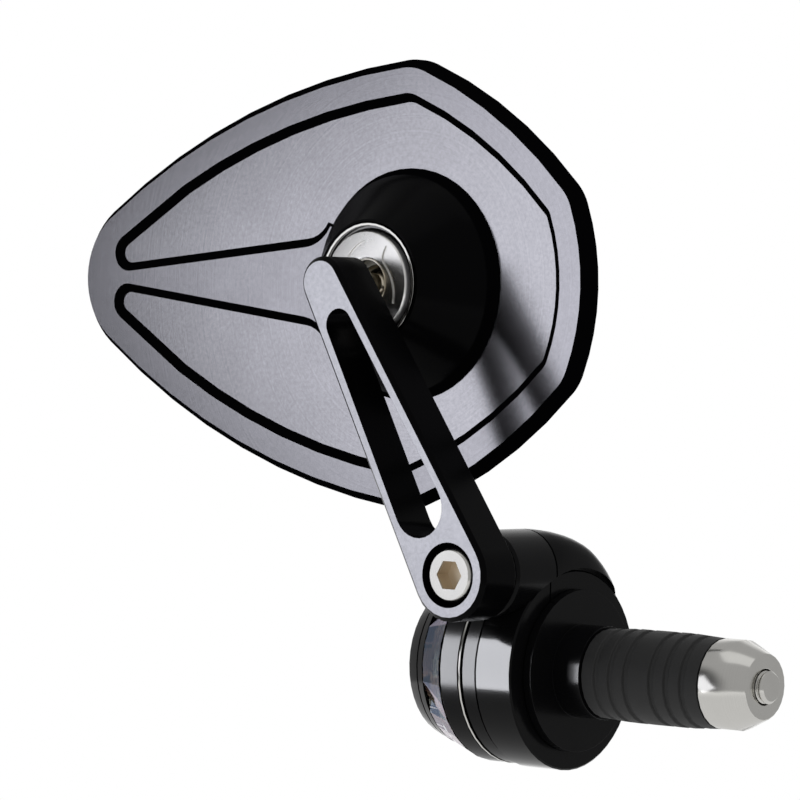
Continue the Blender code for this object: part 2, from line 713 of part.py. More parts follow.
def arm(pivot, material):
    def loop(inset):
        foot = ARM_FOOT_RADIUS - inset
        return tapered_loop(foot, 0.0, ARM_HEAD_RADIUS - inset, ARM_LENGTH)

    loops = [
        flat_loop(loop(ARM_BEVEL / 2), 0.0),
        flat_loop(loop(0.0), ARM_BEVEL / 2),
        flat_loop(loop(0.0), ARM_THICKNESS - ARM_BEVEL),
        flat_loop(loop(ARM_BEVEL), ARM_THICKNESS),
    ]
    body = lofted("arm", loops, pivot, material)
    slot = tapered_loop(SLOT_FOOT_RADIUS, SLOT_FOOT_AT, SLOT_HEAD_RADIUS, SLOT_HEAD_AT)
    past = ARM_THICKNESS / 2
    slot_loops = [flat_loop(slot, -past), flat_loop(slot, ARM_THICKNESS + past)]
    cut(body, lofted("arm_slot", slot_loops, pivot))
    floor = -(ARM_THICKNESS - BOLT_RECESS - M6_HEAD_HEIGHT - FIT)
    cut(body, rod("arm_counterbore", -ARM_THICKNESS - past, floor, COUNTERBORE_RADIUS, "Y", pivot))
    cut(body, rod("arm_bolt_hole", floor - past, past, M6_HOLE_RADIUS, "Y", pivot))
    stud_at = (0.0, 0.0, ARM_LENGTH)
    depth = -(STUD_SHANK_LENGTH + FIT)
    cut(body, rod("arm_stud_hole", depth, past, STUD_SHANK_RADIUS + FIT, "Y", pivot, stud_at))
    return body


# Ball joint and head, drawn from the ball centre


def ball_profile(radius, start, end, steps):
    # Points of a sphere's meridian as (along +Y, radius), between two angles from the -Y pole.
    angles = [start + (end - start) * k / steps for k in range(steps + 1)]
    return [(-radius * math.cos(a), max(0.0, radius * math.sin(a))) for a in angles]


def ball_stud(ball, material):
    arm_face = -BALL_REACH
    collar = arm_face + FIT
    neck_angle = math.asin(STUD_NECK_RADIUS / BALL_RADIUS)
    profile = [
        (arm_face - STUD_SHANK_LENGTH, 0.0),
        (arm_face - STUD_SHANK_LENGTH, STUD_SHANK_RADIUS),
        (collar, STUD_SHANK_RADIUS),
        (collar, STUD_COLLAR_RADIUS),
        (collar + STUD_COLLAR_THICKNESS, STUD_COLLAR_RADIUS),
        (collar + STUD_COLLAR_THICKNESS, STUD_NECK_RADIUS),
    ]
    profile += ball_profile(BALL_RADIUS, neck_angle, math.pi, BALL_STEPS)
    profile[-1] = (BALL_RADIUS, 0.0)
    return turned("ball_stud", profile, "Y", ball, material, steps=SMALL_STEPS)


def ball_seat(ball, material):
    inner_start = math.acos(SEAT_LIP / SEAT_INNER_RADIUS)
    outer_start = math.acos(SEAT_LIP / SEAT_OUTER_RADIUS)
    outer = ball_profile(SEAT_OUTER_RADIUS, outer_start, math.pi, BALL_STEPS)
    inner = ball_profile(SEAT_INNER_RADIUS, inner_start, math.pi, BALL_STEPS)
    outer[-1] = (SEAT_OUTER_RADIUS, 0.0)
    inner[-1] = (SEAT_INNER_RADIUS, 0.0)
    return turned("ball_seat", outer + inner[::-1], "Y", ball, material, steps=SMALL_STEPS)


def retainer_disc(ball, material):
    under = DISC_THICKNESS
    lip_radius = DISC_HOLE_RADIUS + DISC_LIP_WIDTH
    skirt_radius = DISC_TOP_RADIUS + DISC_SKIRT
    section = [
        (DISC_UP - DISC_LIP_DROP, DISC_HOLE_RADIUS),
        (DISC_UP, lip_radius),
        (DISC_UP, DISC_TOP_RADIUS),
        (DISC_FLANGE_UP, skirt_radius),
        (DISC_FLANGE_UP, DISC_FLANGE_RADIUS),
        (DISC_FLANGE_UP - under, DISC_FLANGE_RADIUS),
        (DISC_FLANGE_UP - under, skirt_radius - under),
        (DISC_UP - under, DISC_TOP_RADIUS - under),
        (DISC_UP - under, lip_radius),
        (DISC_UP - DISC_LIP_DROP - under, DISC_HOLE_RADIUS),
    ]
    profile = [(-up, radius) for up, radius in section]
    disc = turned("retainer_disc", profile, "Y", ball, material)
    for k in range(DISC_GROOVES):
        cut(disc, disc_groove(ball, k))
    return disc


def disc_groove(ball, index):
    # An S: it closes in on the hole as it runs round, then hooks outwards.
    start = DISC_GROOVE_START + 2.0 * math.pi * index / DISC_GROOVES
    path = []
    for k in range(DISC_GROOVE_STEPS + 1):
        share = k / DISC_GROOVE_STEPS
        radius = DISC_GROOVE_TAIL + (DISC_GROOVE_INNER - DISC_GROOVE_TAIL) * math.sin(share * math.pi / 2)
        path.append((radius, start + DISC_GROOVE_SWEEP * share))
    for k in range(1, DISC_HOOK_STEPS + 1):
        share = k / DISC_HOOK_STEPS * math.pi / 2
        radius = DISC_GROOVE_INNER + (DISC_GROOVE_OUTER - DISC_GROOVE_INNER) * (1.0 - math.cos(share))
        path.append((radius, start + DISC_GROOVE_SWEEP + DISC_HOOK_SWEEP * math.sin(share)))
    points = [Vector((radius * math.cos(a), radius * math.sin(a))) for radius, a in path]
    left, right = [], []
    for k, point in enumerate(points):
        ahead = points[min(k + 1, len(points) - 1)] - points[max(k - 1, 0)]
        side = Vector((-ahead.y, ahead.x)).normalized() * (DISC_GROOVE_WIDTH / 2)
        left.append((point + side)[:])
        right.append((point - side)[:])
    outline = left + right[::-1]
    loops = [flat_loop(outline, DISC_UP - DISC_GROOVE_DEPTH), flat_loop(outline, DISC_UP + DISC_GROOVE_DEPTH)]
    return lofted("disc_groove_%d" % index, loops, ball)


def retainer_ring(ball, material):
    low = DISC_FLANGE_UP + FIT
    high = low + RING_THICKNESS
    inner = RING_OUTER_RADIUS - RING_WIDTH
    profile = [
        (-low, inner),
        (-low, RING_OUTER_RADIUS),
        (-high, RING_OUTER_RADIUS),
        (-high, inner),
    ]
    return turned("retainer_ring", profile, "Y", ball, material)


def half_outline():
    # Arcs from the tip over the top to the heel, each a radius and the heading where it ends.
    arcs = [
        (TIP_RADIUS, LONG_EDGE_START, 8),
        (LONG_EDGE_RADIUS, LONG_EDGE_END, 8),
        (CROWN_RADIUS, SHORT_EDGE_START, 6),
        (SHORT_EDGE_RADIUS, SHORT_EDGE_END, 5),
        (CORNER_RADIUS, HEEL_START, 5),
        (HEEL_RADIUS, -math.pi / 2, 4),
    ]
    heading = math.pi / 2
    points = [Vector((0.0, 0.0))]
    for radius, end, steps in arcs:
        centre = points[-1] + Vector((math.sin(heading), -math.cos(heading))) * radius
        for k in range(1, steps + 1):
            now = heading + (end - heading) * k / steps
            points.append(centre + Vector((-math.sin(now), math.cos(now))) * radius)
        heading = end
    # The chain is drawn out to the head's length and height, and closed on its axis.
    length = points[-1].x
    miss = points[-1].y
    level = [p.y - miss * p.x / length for p in points]
    stretch = (HEAD_TIP + HEAD_HEEL) / length
    rise = HEAD_HALF_HEIGHT / max(level)
    return [Vector((p.x * stretch - HEAD_TIP, y * rise)) for p, y in zip(points, level)]


def head_outline(inset):
    # Points of the whole outline moved inwards, from the tip over the top and back below.
    upper = half_outline()
    lower = [Vector((p.x, -p.y)) for p in upper[-2:0:-1]]
    points = upper + lower
    count = len(points)
    moved = []
    for k, point in enumerate(points):
        ahead = (points[(k + 1) % count] - points[k - 1]).normalized()
        inward = Vector((ahead.y, -ahead.x))
        moved.append(point + inward * inset)
    return moved


def pocket_outline(inset, deeper):
    # One pocket runs round the dome from the top of the spine to its underside.
    slope = math.tan(SPINE_FLARE)
    lean = 1.0 / math.cos(SPINE_FLARE)

    def spine(x, lift):
        return SPINE_HALF_AT_TIP + slope * (x + SPINE_TIP_AT) + lift * lean

    # The rounded end near the tip touches the rim's edge and the spine's edge.
    path = head_outline(inset + POCKET_CORNER)
    half = len(path) // 2
    first = 0
    while path[first].y < spine(path[first].x, POCKET_CORNER):
        first += 1
    below, above = path[first - 1], path[first]
    gap_below = spine(below.x, POCKET_CORNER) - below.y
    gap_above = above.y - spine(above.x, POCKET_CORNER)
    centre = below.lerp(above, gap_below / (gap_below + gap_above))
    rim = head_outline(inset)
    start_dir = math.atan2(rim[first].y - path[first].y, rim[first].x - path[first].x)
    spine_dir = SPINE_FLARE - math.pi / 2
    small = POCKET_CORNER - deeper
    end_round = arc(centre, small, spine_dir, start_dir - 2.0 * math.pi, 8)
    outer = head_outline(inset + deeper)
    top = [(p.x, p.y) for p in outer[first + 1 : half + 1]]

    # The fillet where the spine runs into the dome.
    reach = DOME_BASE_RADIUS + SPINE_FILLET
    x = -reach
    while x * x + spine(x, SPINE_FILLET) ** 2 > reach * reach:
        x += POCKET_WALL / 50
    fillet_at = (x, spine(x, SPINE_FILLET))
    dome_dir = math.atan2(-fillet_at[1], -fillet_at[0])
    fillet = arc(fillet_at, SPINE_FILLET - deeper, spine_dir, dome_dir, 5)
    inside = [(0.0, fillet[-1][1] / 2)]

    upper = inside + fillet[::-1] + end_round + top
    lower = [(a, -b) for a, b in upper[::-1]]
    return upper + lower[1:]


def head_plate(ball, material):
    outer = head_outline(-EDGE_BEVEL_WIDTH)
    rear = head_outline(REAR_STEP_INSET - EDGE_BEVEL_WIDTH)
    face = head_outline(0.0)
    loops = [
        flat_loop(rear, REAR_UP),
        flat_loop(rear, EDGE_BACK_UP),
        flat_loop(outer, EDGE_BACK_UP),
        flat_loop(outer, FACE_UP - EDGE_BEVEL_DEPTH),
        flat_loop(face, FACE_UP),
    ]
    plate = lofted("head_plate", loops, ball, material)

    # The pocket's walls lean, so its mouth above the face is wider by the same lean.
    over = POCKET_DEPTH / 2
    mouth = -POCKET_WALL * over / POCKET_DEPTH
    pocket = [
        flat_loop(pocket_outline(RIM_WIDTH, POCKET_WALL), FLOOR_UP),
        flat_loop(pocket_outline(RIM_WIDTH, mouth), FACE_UP + over),
    ]
    cut(plate, lofted("head_pocket", pocket, ball))
    fuse(plate, dome_solid(ball))
    cut(plate, socket_solid(ball))

    past = REAR_UP - GLASS_THICKNESS
    recess = head_outline(RECESS_INSET)
    cut(plate, lofted("head_recess", [flat_loop(recess, past), flat_loop(recess, RECESS_UP)], ball))
    return plate


def dome_solid(ball):
    # A steep foot and a cone with a slight swell, up to a narrow land round the mouth.
    root = FLOOR_UP - FLOOR_THICKNESS / 4
    land = MOUTH_RADIUS + DOME_LAND
    shoulder = FACE_UP + DOME_SHOULDER_HEIGHT
    rise = DOME_UP - shoulder
    taper = DOME_SHOULDER_RADIUS - land
    lean = math.hypot(rise, taper)
    profile = [(-root, 0.0), (-root, DOME_BASE_RADIUS), (-FLOOR_UP - DOME_FOOT, DOME_BASE_RADIUS)]
    for k in range(DOME_STEPS + 1):
        share = k / DOME_STEPS
        swell = DOME_SWELL * math.sin(math.pi * share)
        up = shoulder + rise * share + swell * taper / lean
        profile.append((-up, DOME_SHOULDER_RADIUS - taper * share + swell * rise / lean))
    profile.append((-DOME_UP, 0.0))
    return turned("head_dome", profile, "Y", ball, steps=LARGE_STEPS)


def socket_solid(ball):
    # The dome's mouth, open above the land, and below it the hollow for the ball's seat.
    above = DOME_UP + DISC_PROUD
    profile = [(-above, 0.0), (-above, MOUTH_RADIUS), (-MOUTH_FLOOR_UP, MOUTH_RADIUS)]
    profile.append((-MOUTH_FLOOR_UP, SOCKET_RADIUS))
    profile += ball_profile(SOCKET_RADIUS, math.pi / 2, math.pi, BALL_STEPS)
    profile[-1] = (SOCKET_RADIUS, 0.0)
    return turned("head_socket", profile, "Y", ball, steps=LARGE_STEPS)


def glass_bond(ball, material):
    sheet = head_outline(RECESS_INSET + FIT)
    loops = [flat_loop(sheet, BOND_UP - BOND_THICKNESS), flat_loop(sheet, BOND_UP)]
    return lofted("glass_bond", loops, ball, material)


def mirror_glass(ball, material):
    pane = head_outline(RECESS_INSET + FIT)
    loops = [flat_loop(pane, GLASS_UP - GLASS_THICKNESS), flat_loop(pane, GLASS_UP)]
    return lofted("mirror_glass", loops, ball, material)


def main():
    clear_scene()
    black = finish("black_anodised", (0.012, 0.012, 0.014), 0.22, 0.9)
    machined = finish("machined_aluminium", (0.42, 0.42, 0.45), 0.32, 1.0)
    bright = finish("bright_steel", (0.78, 0.77, 0.74), 0.18, 1.0)
    clear = finish("clear_lens", (0.85, 0.87, 0.9), 0.05, 0.0)
    board = finish("light_board", (0.75, 0.76, 0.72), 0.5, 0.0)
    rubber = finish("black_rubber", (0.015, 0.015, 0.015), 0.8, 0.0)
    nylon = finish("white_nylon", (0.72, 0.71, 0.66), 0.45, 0.0)
    silver = finish("mirror_silver", (0.9, 0.91, 0.92), 0.02, 1.0)

    bar = empty_at("bar_axis", (0.0, 0.0, 0.0))
    bar_end_body(bar, black)
    trim_ring(bar, bright)
    bezel_ring(bar, black)
    lens_ring(bar, clear)
    led_board(bar, board)
    lens_gasket(bar, rubber)
    end_cap(bar, black)
    expander_bolt(bar, bright)
    expander_washer(bar, bright)
    expander_sleeve(bar, rubber)
    expander_nut(bar, bright)

    clamp = empty_at("clamp_turn_axis", (0.0, 0.0, 0.0))
    clamp_body(clamp, black)
    pivot_washer(clamp, black)
    arm_bolt(clamp, bright)

    pivot = empty_at("arm_pivot_axis", (PIVOT_X, ARM_BACK, PIVOT_HEIGHT), -ARM_LEAN)
    arm(pivot, machined)

    ball = empty_at("ball_centre", (BALL_X, BALL_Y, BALL_Z))
    ball_stud(ball, bright)
    ball_seat(ball, nylon)
    head_plate(ball, machined)
    retainer_disc(ball, bright)
    retainer_ring(ball, bright)
    glass_bond(ball, rubber)
    mirror_glass(ball, silver)


main()
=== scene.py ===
# Bar-end mirror: finishes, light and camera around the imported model

import json
import math
import bpy
from mathutils import Matrix, Quaternion, Vector


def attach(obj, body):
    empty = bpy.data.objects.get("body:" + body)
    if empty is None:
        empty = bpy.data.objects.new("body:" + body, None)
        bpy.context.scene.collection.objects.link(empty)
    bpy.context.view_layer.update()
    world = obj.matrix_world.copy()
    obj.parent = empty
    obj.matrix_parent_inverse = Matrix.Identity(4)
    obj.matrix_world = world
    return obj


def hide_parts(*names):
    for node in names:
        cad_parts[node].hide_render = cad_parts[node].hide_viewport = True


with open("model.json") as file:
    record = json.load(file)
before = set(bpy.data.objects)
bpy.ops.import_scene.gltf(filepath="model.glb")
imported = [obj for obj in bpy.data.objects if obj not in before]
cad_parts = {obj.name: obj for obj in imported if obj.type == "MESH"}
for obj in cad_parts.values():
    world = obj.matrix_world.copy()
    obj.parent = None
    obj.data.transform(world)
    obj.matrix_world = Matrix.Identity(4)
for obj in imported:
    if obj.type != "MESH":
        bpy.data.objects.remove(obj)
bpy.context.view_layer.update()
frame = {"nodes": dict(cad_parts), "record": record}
nodes = frame["nodes"]
record = frame["record"]
bodyOf = {node: body for body, group in record["behaviour"]["bodies"].items() for node in group}
scene = bpy.context.scene
scene.view_settings.view_transform = "Standard"
millimetre = 0.001  # pieces and patterns are given in millimetres, the studio in metres
perMetre = 1000.0
print("model loaded:", len(nodes), "nodes")


# Camera where the photograph was taken from: a long lens, a little above and to the right
cameraPlace = {
    "at": (0.56325, -0.7257, 0.06974),
    "azimuth": 39.98,
    "elevation": 1.30,
    "roll": -1.55,
    "lens": 225.0,
    "sensor": 36.0,
    "nearest": 0.01,
    "farthest": 50.0,
}


def addCamera(place):
    azimuth = math.radians(place["azimuth"])
    elevation = math.radians(place["elevation"])
    roll = math.radians(place["roll"])
    back = Vector((
        math.sin(azimuth) * math.cos(elevation),
        -math.cos(azimuth) * math.cos(elevation),
        math.sin(elevation),
    ))
    level = Vector((math.cos(azimuth), math.sin(azimuth), 0.0))
    upright = back.cross(level)
    right = level * math.cos(roll) - upright * math.sin(roll)
    up = upright * math.cos(roll) + level * math.sin(roll)
    bpy.ops.object.camera_add()
    camera = bpy.context.object
    turn = Matrix((right, up, back)).transposed().to_4x4()
    camera.matrix_world = Matrix.Translation(place["at"]) @ turn
    camera.data.lens = place["lens"]
    camera.data.sensor_width = place["sensor"]
    camera.data.clip_start = place["nearest"]
    camera.data.clip_end = place["farthest"]
    scene.camera = camera


addCamera(cameraPlace)
print("camera set")


# Node trees: a value that can be used in sums, and one way to add any node
frontFacing = (0.9, 0.97)  # a face begins to count as front at the first, and does fully at the second


class Value:
    def __init__(self, tree, socket):
        self.tree = tree
        self.socket = socket

    def sum(self, operation, first, second):
        return self.tree.add("Math", {"operation": operation}, {0: first, 1: second})

    def __add__(self, other):
        return self.sum("ADD", self, other)

    def __sub__(self, other):
        return self.sum("SUBTRACT", self, other)

    def __rsub__(self, other):
        return self.sum("SUBTRACT", other, self)

    def __mul__(self, other):
        return self.sum("MULTIPLY", self, other)

    def __truediv__(self, other):
        return self.sum("DIVIDE", self, other)

    def __pow__(self, other):
        return self.sum("POWER", self, other)

    __radd__ = __add__
    __rmul__ = __mul__


class Tree:
    def __init__(self, owner):
        owner.use_nodes = True
        self.nodes = owner.node_tree.nodes
        self.links = owner.node_tree.links
        self.nodes.clear()

    def add(self, kind, settings=None, inputs=None, output=0):
        node = self.nodes.new("ShaderNode" + kind)
        for name, value in (settings or {}).items():
            setattr(node, name, value)
        for key, value in (inputs or {}).items():
            if isinstance(value, Value):
                self.links.new(value.socket, node.inputs[key])
            else:
                node.inputs[key].default_value = value
        return Value(self, node.outputs[output]) if node.outputs else node

    # how far a point is along an axis of its piece, in millimetres
    def along(self, axis):
        spot = self.add("TexCoord", output="Object")
        return self.add("SeparateXYZ", None, {0: spot}, axis) * perMetre

    def facing(self, axis):
        normal = self.add("TexCoord", output="Normal")
        return self.add("SeparateXYZ", None, {0: normal}, axis)

    def frontFace(self):
        return self.step(self.facing("Y") * -1.0, *frontFacing)

    # 0 before start, 1 after end, soft between, and the other way round if start is the larger
    def step(self, value, start, end):
        settings = {"interpolation_type": "SMOOTHSTEP"}
        return self.add("MapRange", settings, {"Value": value, "From Min": start, "From Max": end})

    def most(self, first, second):
        return self.add("Math", {"operation": "MAXIMUM"}, {0: first, 1: second})

    def reach(self, first, second):
        return (first * first + second * second) ** 0.5

    def noise(self, size, detail):
        spot = self.add("TexCoord", output="Object")
        return self.add("TexNoise", None, {"Vector": spot, "Scale": perMetre / size, "Detail": detail})

    # lines of random depth across a measure, such as a tool leaves
    def lines(self, measure, spacing):
        settings = {"noise_dimensions": "1D"}
        return self.add("TexNoise", settings, {"W": measure / spacing, "Scale": 1.0, "Detail": 1.0})

    def mix(self, share, first, second):
        inputs = {0: share, 6: self.colour(first), 7: self.colour(second)}
        return self.add("Mix", {"data_type": "RGBA"}, inputs, 2)

    def colour(self, value):
        return value if isinstance(value, Value) else (*value, 1.0)

    def bump(self, height, depth):
        return self.add("Bump", None, {"Height": height, "Distance": depth * millimetre, "Strength": 1.0})

    def ray(self, kind):
        return self.add("LightPath", output="Is " + kind + " Ray")

    # what is seen in metal or through glass
    def shinyRay(self):
        return self.most(self.ray("Glossy"), self.ray("Transmission"))

    def surface(self, inputs):
        shader = self.add("BsdfPrincipled", None, inputs)
        self.add("OutputMaterial", None, {"Surface": shader})


def newFinish(name):
    material = bpy.data.materials.new(name)
    return material, Tree(material)


# Pieces: a copy of the node with its corners joined, rounded edges and soft shading
pieces = []
meshLook = {
    "merge": 0.002,  # corners this close are one
    "flatten": 0.4,  # degrees within which triangles make one flat face
    "sharp": 32,  # degrees past which an edge is rounded and shaded as one
    "steps": 2,  # faces across a rounded edge
}
grooveLook = {
    "cuts": (-0.5, -0.3, 0.3, 0.5),  # edges of a groove and of its floor, in widths from its middle
    "floor": 0.31,  # what is nearer to the middle is drawn in
}


# grooves turned round a piece: loops cut across the bar, the inner two of each drawn in
def cutGrooves(piece, look):
    width = look["grooveWidth"]
    bpy.ops.object.mode_set(mode="EDIT")
    for middle in look["grooves"]:
        for cut in grooveLook["cuts"]:
            across = (middle + cut * width) * millimetre
            bpy.ops.mesh.select_all(action="SELECT")
            bpy.ops.mesh.bisect(plane_co=(across, 0.0, 0.0), plane_no=(1.0, 0.0, 0.0))
    bpy.ops.mesh.select_all(action="DESELECT")
    bpy.ops.object.mode_set(mode="OBJECT")
    for vertex in piece.data.vertices:
        reach = math.hypot(vertex.co.y, vertex.co.z) * perMetre
        away = min(abs(vertex.co.x * perMetre - middle) for middle in look["grooves"])
        vertex.select = reach > look["grooveOver"] and away < grooveLook["floor"] * width
    bpy.ops.object.mode_set(mode="EDIT")
    draw = look["grooveDraw"]
    bpy.ops.transform.resize(value=(1.0, draw, draw), center_override=(0.0, 0.0, 0.0))
    bpy.ops.object.mode_set(mode="OBJECT")


def dressNode(look):
    sharp = math.radians(look.get("sharp", meshLook["sharp"]))
    bpy.ops.object.select_all(action="DESELECT")
    bpy.ops.object.add(type="MESH")
    piece = bpy.context.object
    piece.name = look["name"]
    piece.data = nodes[look["node"]].data.copy()
    piece.data.materials.clear()
    bpy.ops.object.mode_set(mode="EDIT")
    bpy.ops.mesh.select_all(action="SELECT")
    bpy.ops.mesh.remove_doubles(threshold=meshLook["merge"] * millimetre)
    bpy.ops.mesh.dissolve_limited(angle_limit=math.radians(meshLook["flatten"]))
    bpy.ops.object.mode_set(mode="OBJECT")
    if "grooves" in look:
        cutGrooves(piece, look)
    if "edge" in look:
        bpy.ops.object.modifier_add(type="BEVEL")
        bevel = piece.modifiers[-1]
        bevel.width = look["edge"] * millimetre
        bevel.segments = meshLook["steps"]
        bevel.limit_method = "ANGLE"
        bevel.angle_limit = sharp
        bevel.use_clamp_overlap = True
        bpy.ops.object.modifier_apply(modifier=bevel.name)
    bpy.ops.object.shade_smooth_by_angle(angle=sharp)
    bpy.ops.object.modifier_add(type="WEIGHTED_NORMAL")  # flats stay flat beside their rounded edges
    weighted = piece.modifiers[-1]
    weighted.keep_sharp = True
    bpy.ops.object.modifier_apply(modifier=weighted.name)
    piece.data.materials.append(look["finish"])
    pieces.append(piece)
    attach(piece, bodyOf[look["node"]])
    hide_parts(look["node"])
    return piece


# Head: turned grey faces, with black on the dome, the walls and the back
headLook = {
    "node": "head_plate",
    "name": "headPlate",
    "edge": 0.25,
    "axis": (-40.764, 70.14),  # the ball's centre, along the bar and up
    "domeFrom": -5.6,  # the dome stands out past this
    "domeFade": 0.4,
    "floorFrom": -4.1,  # the pockets' floors lie behind this, and are a little brighter
    "floorFade": 0.2,
    "backFacing": (0.2, 0.5),
    "grey": (0.464, 0.457, 0.492),
    "greyDeep": (0.331, 0.328, 0.353),
    "greyFloor": (0.546, 0.539, 0.572),
    "black": (0.0022, 0.0022, 0.0026),
    "roughness": 0.185,
    "blackPolish": 0.03,
    "cloudSize": 9.0,
    "cloudRough": 0.06,
    "grainSize": 0.72,
    "grainHeight": 0.15,
    "lineSpacing": 0.4,
    "lineShare": 0.28,
    "lineDepth": 0.0014,
}


def headFinish(look):
    material, tree = newFinish("turnedHead")
    x, y, z = map(tree.along, "XYZ")
    foot = look["domeFrom"]
    fade = look["domeFade"]
    flat = tree.frontFace() * tree.step(y, foot, foot + fade)
    dome = tree.step(y * -1.0, -foot, -foot + fade)
    back = tree.step(tree.facing("Y"), *look["backFacing"])
    floor = tree.step(y, look["floorFrom"], look["floorFrom"] + look["floorFade"])
    reach = tree.reach(x - look["axis"][0], z - look["axis"][1])
    lines = tree.lines(reach, look["lineSpacing"])
    cloud = tree.noise(look["cloudSize"], 3.0)
    grain = tree.noise(look["grainSize"], 2.0)
    worked = lines * look["lineShare"] + grain * (1.0 - look["lineShare"])
    grey = tree.mix(worked, look["greyDeep"], tree.mix(floor, look["grey"], look["greyFloor"]))
    rough = look["roughness"] + (cloud - 0.5) * look["cloudRough"]
    height = lines * flat + grain * look["grainHeight"]
    tree.surface({
        "Base Color": tree.mix(flat, look["black"], grey),
        "Metallic": flat,
        "Roughness": rough - (1.0 - flat) * look["blackPolish"],
        "Specular IOR Level": 0.0,
        "Coat Weight": tree.most(dome, back),
        "Coat IOR": 1.11,
        "Coat Roughness": 0.2,
        "Normal": tree.bump(height, look["lineDepth"]),
    })
    return material


headLook["finish"] = headFinish(headLook)
dressNode(headLook)
print("head dressed")


# Arm: one bright satin face, black round the sides and in the slot
armLook = {
    "node": "arm",
    "name": "arm",
    "edge": 0.06,
    "faceFrom": -28.9,  # the bright face stands out past this
    "faceFade": 0.2,
    "grey": (0.545, 0.545, 0.58),
    "greyDeep": (0.385, 0.385, 0.41),
    "black": (0.0022, 0.0022, 0.0026),
    "roughness": 0.2,
    "blackDull": 0.02,
    "cloudSize": 7.0,
    "cloudRough": 0.05,
    "grainSize": 0.85,
    "grainDepth": 0.0015,
}


def armFinish(look):
    material, tree = newFinish("satinArm")
    front = tree.along("Y") * -1.0
    flat = tree.frontFace() * tree.step(front, -look["faceFrom"], -look["faceFrom"] + look["faceFade"])
    grain = tree.noise(look["grainSize"], 2.0)
    cloud = tree.noise(look["cloudSize"], 3.0)
    grey = tree.mix(grain, look["greyDeep"], look["grey"])
    rough = look["roughness"] + (cloud - 0.5) * look["cloudRough"]
    tree.surface({
        "Base Color": tree.mix(flat, look["black"], grey),
        "Metallic": flat,
        "Roughness": rough + (1.0 - flat) * look["blackDull"],
        "Specular IOR Level": 0.04,
        "Normal": tree.bump(grain, look["grainDepth"]),
    })
    return material


armLook["finish"] = armFinish(armLook)
dressNode(armLook)
print("arm dressed")


# Black anodised pieces round the bar, with one polished band on the clamp
blackLook = {
    "colour": (0.0035, 0.0035, 0.004),
    "worn": (0.006, 0.006, 0.0065),
    "roughness": 0.2,
    "gloss": 0.10,
    "cloudSize": 6.0,
    "cloudRough": 0.05,
    "grainSize": 0.25,
    "ringSpacing": 0.12,
    "ringShare": 0.6,
    "ringDepth": 0.0006,
    "bandFrom": -9.9,
    "bandTo": -2.35,
    "bandFade": 0.05,
    "bandInside": (18.3, 18.4),  # the band is on the clamp's skin, between these distances from the axis
    "bandOutside": (18.65, 18.6),
    "bandPolish": 0.07,
}


def blackFinish(name, look):
    material, tree = newFinish(name)
    x, y, z = map(tree.along, "XYZ")
    reach = tree.reach(y, z)
    start = tree.step(x, look["bandFrom"] - look["bandFade"], look["bandFrom"])
    end = tree.step(x, look["bandTo"] + look["bandFade"], look["bandTo"])
    skin = tree.step(reach, *look["bandInside"]) * tree.step(reach, *look["bandOutside"])
    band = start * end * skin
    cloud = tree.noise(look["cloudSize"], 3.0)
    grain = tree.noise(look["grainSize"], 1.0)
    rings = tree.lines(x, look["ringSpacing"])
    height = rings * look["ringShare"] + grain * (1.0 - look["ringShare"])
    rough = look["roughness"] + (cloud - 0.5) * look["cloudRough"]
    tree.surface({
        "Base Color": tree.mix(cloud, look["colour"], look["worn"]),
        "Roughness": rough - band * look["bandPolish"],
        "Specular IOR Level": look["gloss"],
        "Coat Weight": band,
        "Coat IOR": 1.09,
        "Coat Roughness": 0.04,
        "Normal": tree.bump(height, look["ringDepth"]),
    })
    return material


black = blackFinish("blackAnodised", blackLook)
glossBlack = blackFinish("blackCap", {**blackLook, "roughness": 0.14, "gloss": 0.34})
barPieces = []
for look in (
    {"node": "clamp_body", "name": "clamp", "edge": 0.12},
    {"node": "bezel_ring", "name": "bezelRing", "edge": 0.1},
    {"node": "bar_end_body", "name": "barEndCore", "edge": 0.1},
    {"node": "pivot_washer", "name": "pivotWasher", "edge": 0.05},
):
    look["finish"] = black
    barPieces.append(dressNode(look))
dressNode({"node": "end_cap", "name": "endCap", "edge": 0.12, "finish": glossBlack})
print("black pieces dressed")


# Bright steel: screws, rings, the ball and the sprung disc
steelLook = {
    "colour": (0.74, 0.73, 0.70),
    "deep": (0.60, 0.59, 0.56),
    "roughness": 0.16,
    "cloudSize": 4.0,
    "cloudRough": 0.08,
    "lineSpacing": 0.14,
    "lineShare": 0.6,
    "lineHeight": 0.0012,
}
discLook = {
    **steelLook,
    "colour": (0.97, 0.96, 0.94),
    "deep": (0.86, 0.85, 0.83),
    "roughness": 0.26,
    "crown": 170.0,  # radius of the faint dome over the disc
    # painted shade: from here out the disc's skirt is painted a darker grey, for the shade in the recess
    # round it
    "skirtFrom": 9.7,
    "skirtFade": 0.15,
    "skirtPaintedShade": (0.31, 0.31, 0.32),
}
ringLook = {**steelLook, "roughness": 0.14}
studLook = {
    **steelLook,
    "colour": (0.90, 0.82, 0.67),
    "deep": (0.76, 0.68, 0.53),
    "roughness": 0.2,
}
boltLook = {
    **steelLook,
    "roughness": 0.22,
    "socketFrom": -28.5,  # the socket lies behind this
    "socketFade": 0.2,
    "socketReach": (3.3, 3.2),
    "socketColour": (0.80, 0.70, 0.56),
    "socketDull": 0.3,
}
ballAxis = headLook["axis"]
boltAxis = (-8.5, 17.9)


